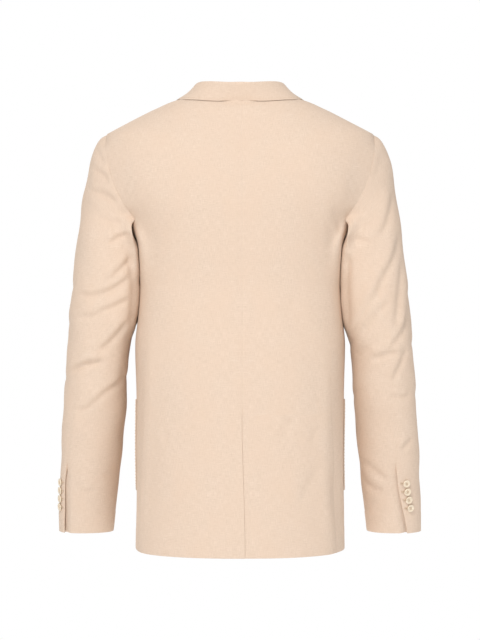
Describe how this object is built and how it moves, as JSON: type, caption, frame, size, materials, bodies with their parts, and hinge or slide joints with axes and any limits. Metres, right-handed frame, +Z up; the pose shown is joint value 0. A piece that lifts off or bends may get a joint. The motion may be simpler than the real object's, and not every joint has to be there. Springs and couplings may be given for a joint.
{
  "type": "single breasted blazer",
  "caption": "Lightweight single breasted jacket with notched lapels, two-piece sleeves, a centre back vent and patch pockets, filled out as worn with an empty inside",
  "frame": {"origin": "centre of the neck opening at the level where collar and shoulder meet, where the wearer's neck and shoulders hold the garment", "axes": "+Z up the garment, -Y out of its front, +X to the wearer's left"},
  "size_m": [0.6093, 0.2803, 0.7767],
  "materials": {
    "cloth": "fine beige linen weave, matte",
    "button": "pale cream, satin"
  },
  "bodies": {
    "root": {"back_left": "cloth", "back_right": "cloth", "side_left": "cloth", "side_right": "cloth", "front_left": "cloth", "front_right": "cloth", "lapel_left": "cloth", "lapel_right": "cloth", "collar": "cloth", "pocket_left": "cloth", "pocket_right": "cloth", "sleeve_top_left": "cloth", "sleeve_under_left": "cloth", "sleeve_top_right": "cloth", "sleeve_under_right": "cloth", "cuff_button_left_1": "button", "cuff_button_left_2": "button", "cuff_button_left_3": "button", "cuff_button_left_4": "button", "cuff_button_right_1": "button", "cuff_button_right_2": "button", "cuff_button_right_3": "button", "cuff_button_right_4": "button", "front_button_1": "button", "front_button_2": "button"}
  },
  "joints": []
}
